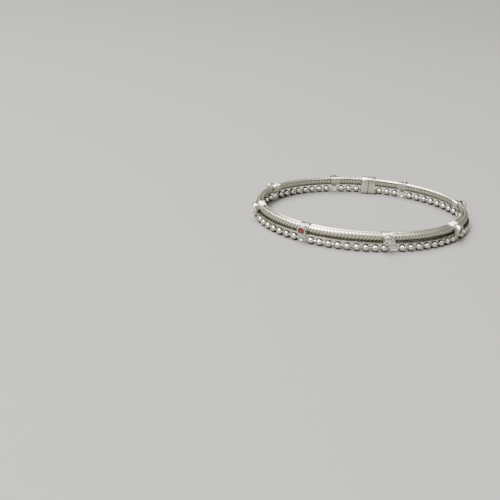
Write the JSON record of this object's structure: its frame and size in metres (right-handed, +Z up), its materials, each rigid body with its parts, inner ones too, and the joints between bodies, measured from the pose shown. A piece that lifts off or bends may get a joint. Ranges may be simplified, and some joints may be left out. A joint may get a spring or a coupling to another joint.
{
  "type": "payal anklet",
  "caption": "Rigid oval silver anklet: an engraved tube with a rail and edge wire, a strand of beads below it, and box-set stones in clear, red and green.",
  "frame": {"origin": "centre of the oval, on the surface that the anklet lies on with its beads down", "axes": "+X along the oval's long diameter, +Y across it towards the clasp, +Z up, from the beads to the tube"},
  "size_m": [0.1014, 0.0824, 0.0086],
  "materials": {
    "engraved_silver": "bright silver, finely engraved in a herringbone, with darker engraved lines",
    "silver_wire": "bright polished silver wire, darker in its corners",
    "bead_silver": "bright polished silver, darker round the necks",
    "setting_silver": "bright polished silver, with ribbed straps",
    "clear_stone": "clear cut stone",
    "red_stone": "deep red cut stone",
    "green_stone": "dark green cut stone"
  },
  "bodies": {
    "root": {"main_tube": "engraved_silver", "rail": "silver_wire", "edge_wire": "silver_wire", "bead_row_1": "bead_silver", "bead_row_2": "bead_silver", "bead_row_3": "bead_silver", "bead_row_4": "bead_silver", "bead_row_5": "bead_silver", "bead_row_6": "bead_silver", "bead_row_7": "bead_silver", "bead_row_8": "bead_silver", "bead_row_9": "bead_silver", "setting_1": "setting_silver", "stone_1": "clear_stone", "setting_2": "setting_silver", "stone_2": "clear_stone", "setting_3": "setting_silver", "stone_3": "red_stone", "setting_4": "setting_silver", "stone_4": "clear_stone", "setting_5": "setting_silver", "stone_5": "green_stone", "setting_6": "setting_silver", "stone_6": "clear_stone", "setting_7": "setting_silver", "stone_7": "clear_stone", "setting_8": "setting_silver", "stone_8": "clear_stone", "clasp": "setting_silver"}
  },
  "joints": []
}
